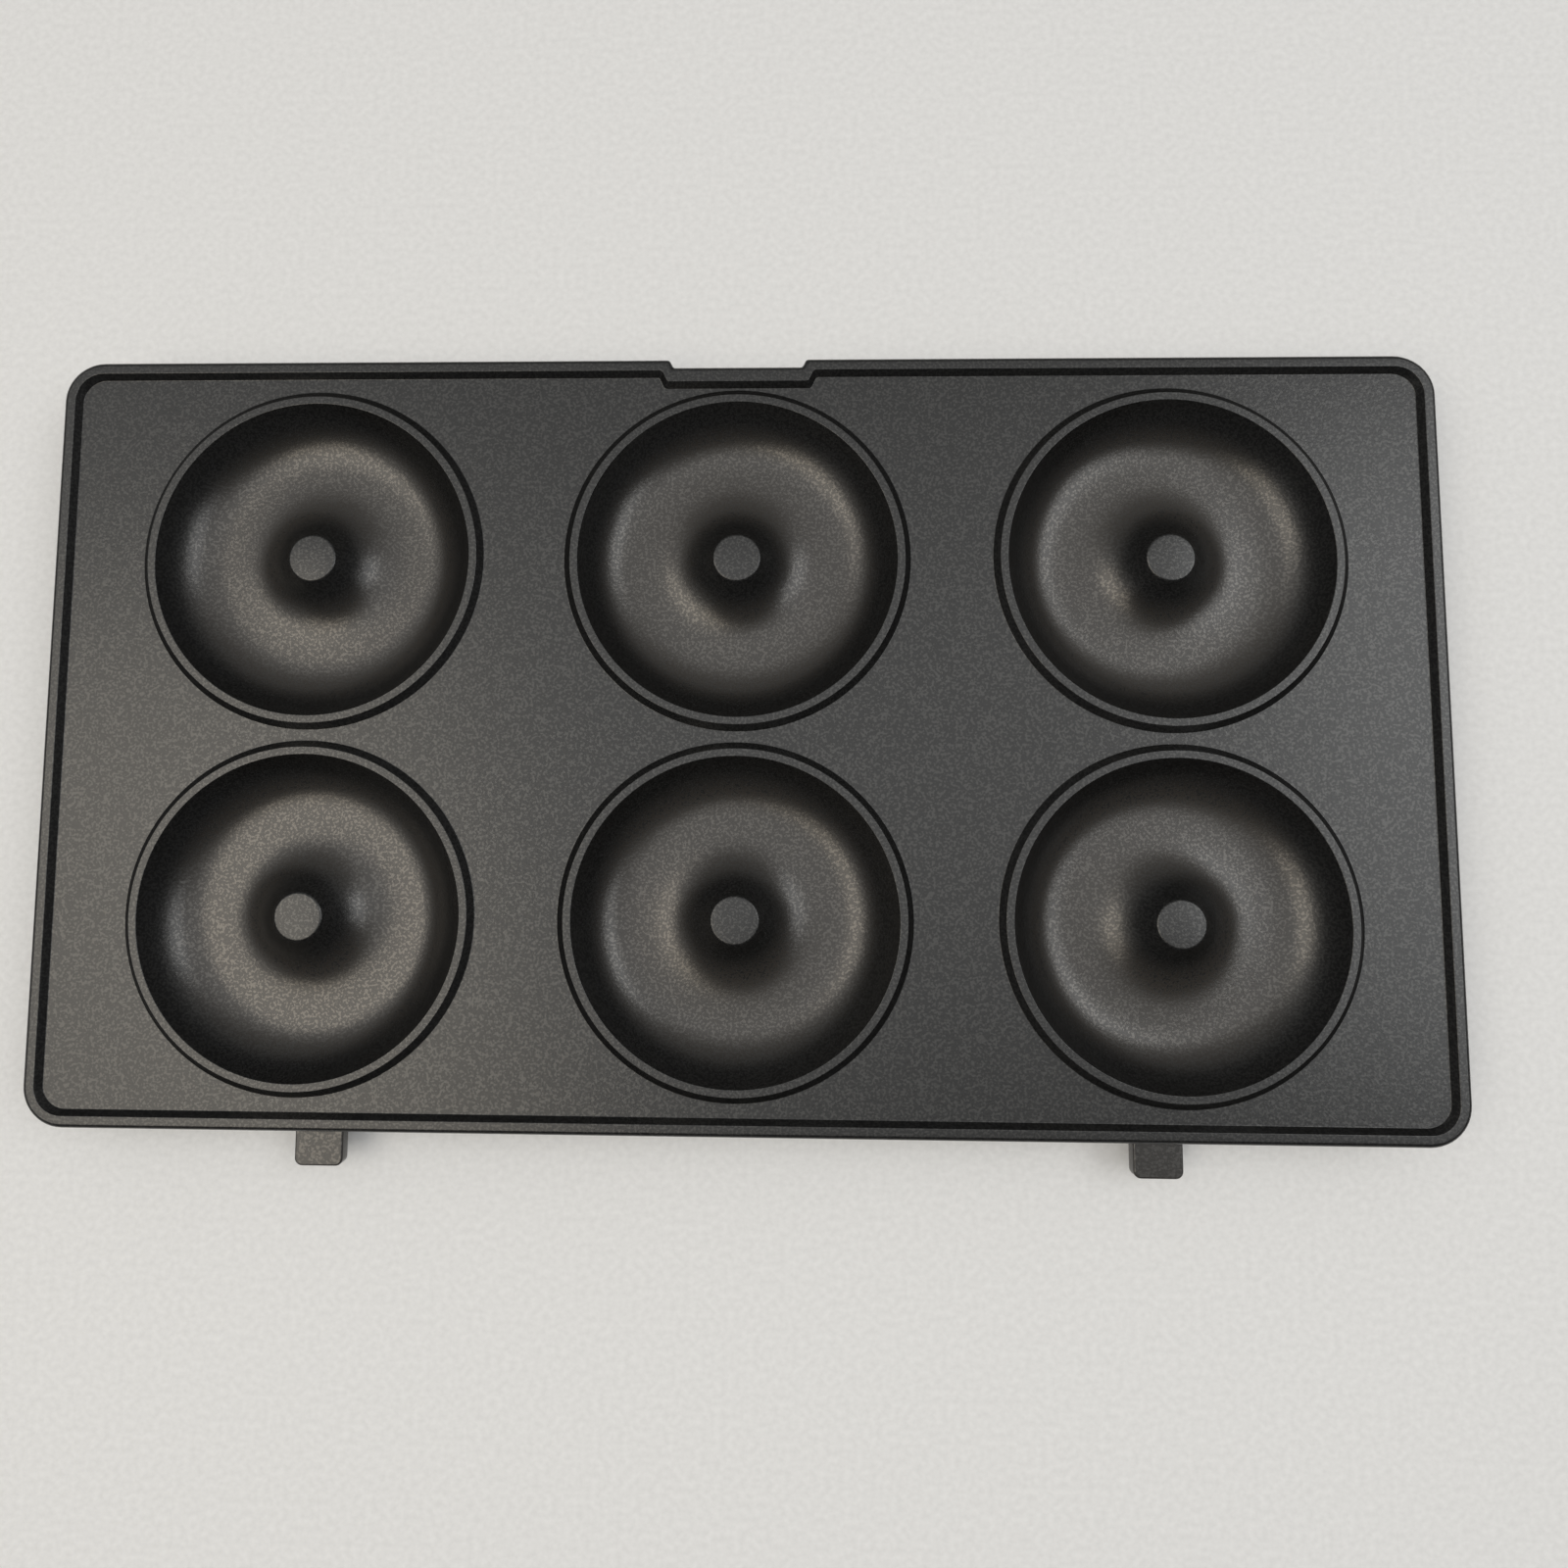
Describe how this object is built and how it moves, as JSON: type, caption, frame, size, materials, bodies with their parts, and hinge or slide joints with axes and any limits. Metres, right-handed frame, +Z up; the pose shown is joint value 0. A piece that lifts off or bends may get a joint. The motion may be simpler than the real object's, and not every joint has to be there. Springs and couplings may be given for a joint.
{
  "type": "donut baking plate",
  "caption": "Removable rectangular baking plate for a donut maker: ring-shaped bowls with centre posts in a rimmed nonstick tray, with front tabs and a rear latch notch.",
  "frame": {"origin": "on the surface that the plate lies on, under the middle of its overall box, tabs included", "axes": "+X along the plate's length, +Y from the front tabs to the notched rear edge, +Z up out of the cooking face"},
  "size_m": [0.24, 0.1398, 0.0129],
  "materials": {
    "casting": "as-cast, fine grain",
    "coating": "satin charcoal nonstick, fine grain"
  },
  "bodies": {
    "root": {"plate_casting": "casting", "nonstick_coating": "coating"}
  },
  "joints": []
}
